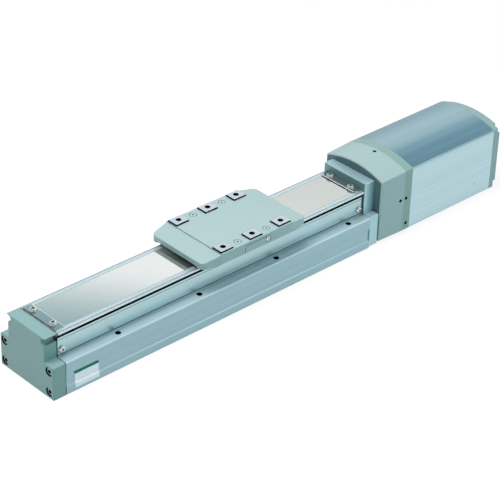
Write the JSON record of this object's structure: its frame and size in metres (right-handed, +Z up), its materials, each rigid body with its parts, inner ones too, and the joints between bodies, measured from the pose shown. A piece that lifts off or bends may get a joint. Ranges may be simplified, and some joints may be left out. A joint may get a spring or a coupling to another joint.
{
  "type": "electric slide actuator",
  "caption": "Ball-screw slide actuator: long aluminium base with stainless cover band, slide table with threaded pads, and an in-line motor unit with arched cover.",
  "frame": {"origin": "centre of the base extrusion's underside, on its long centre line", "axes": "+X along the travel towards the motor, +Z up from the mounting face, -Y the side with the nameplate and the grease port"},
  "size_m": [0.6103, 0.0818, 0.0811],
  "materials": {
    "anodised_aluminium": "satin anodised, pale blue-green",
    "painted_metal": "satin paint, pale green-grey",
    "ring_coating": "satin coating, darker grey-green",
    "brushed_cover": "brushed along the axis",
    "stainless_steel": "rolled, smooth",
    "clamp_metal": "satin",
    "bright_screws": "bright plated",
    "painted_screws": "painted with the cover",
    "steel_screws": "plated",
    "dark_plate": "satin, dark blue-grey",
    "black_rubber": "matte",
    "machined_aluminium": "machined",
    "bearing_steel": "ground",
    "motor_black": "satin black",
    "spider_plastic": "moulded",
    "gland_plastic": "moulded",
    "plate_foil": "printed foil, left bare"
  },
  "bodies": {
    "base": {"base_extrusion": "anodised_aluminium", "side_cover_near": "anodised_aluminium", "side_cover_far": "anodised_aluminium", "top_cover": "anodised_aluminium", "stainless_band": "stainless_steel", "band_clamp_front": "clamp_metal", "band_clamp_rear": "clamp_metal", "band_clamp_screws": "bright_screws", "side_cover_screws": "bright_screws", "end_cover": "painted_metal", "end_cover_gasket": "black_rubber", "end_cover_screws": "steel_screws", "tail_bearing_block": "machined_aluminium", "tail_bearing_outer_ring": "bearing_steel", "bearing_housing": "machined_aluminium", "fixed_bearing_outer_rings": "bearing_steel", "bearing_retainer": "machined_aluminium", "end_bumpers": "black_rubber", "guide_rails": "bearing_steel", "drive_flange": "anodised_aluminium", "housing_front_plate": "dark_plate", "adapter_housing": "painted_metal", "motor_ring": "ring_coating", "motor_cover": "brushed_cover", "rear_cap": "painted_metal", "rear_cap_screws": "steel_screws", "cable_glands": "gland_plastic", "motor_body": "motor_black", "encoder_cover": "motor_black", "nameplate": "plate_foil"},
    "carriage": {"slider_plate": "machined_aluminium", "table_cover": "painted_metal", "table_screws": "painted_screws", "table_end_front": "painted_metal", "table_end_rear": "painted_metal", "grease_cover": "painted_metal", "grease_cover_screw": "bright_screws", "arm_near": "machined_aluminium", "arm_far": "machined_aluminium", "saddle": "machined_aluminium", "guide_blocks": "bearing_steel", "ball_nut": "bearing_steel"},
    "screw": {"ball_screw": "bearing_steel", "tail_bearing_inner_ring": "bearing_steel", "fixed_bearing_inner_rings": "bearing_steel", "bearing_lock_nut": "bearing_steel", "coupling_hub_screw": "machined_aluminium", "coupling_spider": "spider_plastic", "coupling_hub_motor": "machined_aluminium", "motor_shaft": "bearing_steel"}
  },
  "joints": [
    {"name": "carriage_slide", "type": "slide", "parent": "base", "child": "carriage", "axis": [1, 0, 0], "range_m": [-0.135, 0.065]},
    {"name": "screw_turn", "type": "hinge", "parent": "base", "child": "screw", "pos_m": [0, 0, 0.036], "axis": [1, 0, 0], "range_deg": [-2350, 4870]}
  ],
  "couplings": [
    {"joint": "screw_turn", "follows": "carriage_slide", "rad_per_m": -628.32}
  ]
}
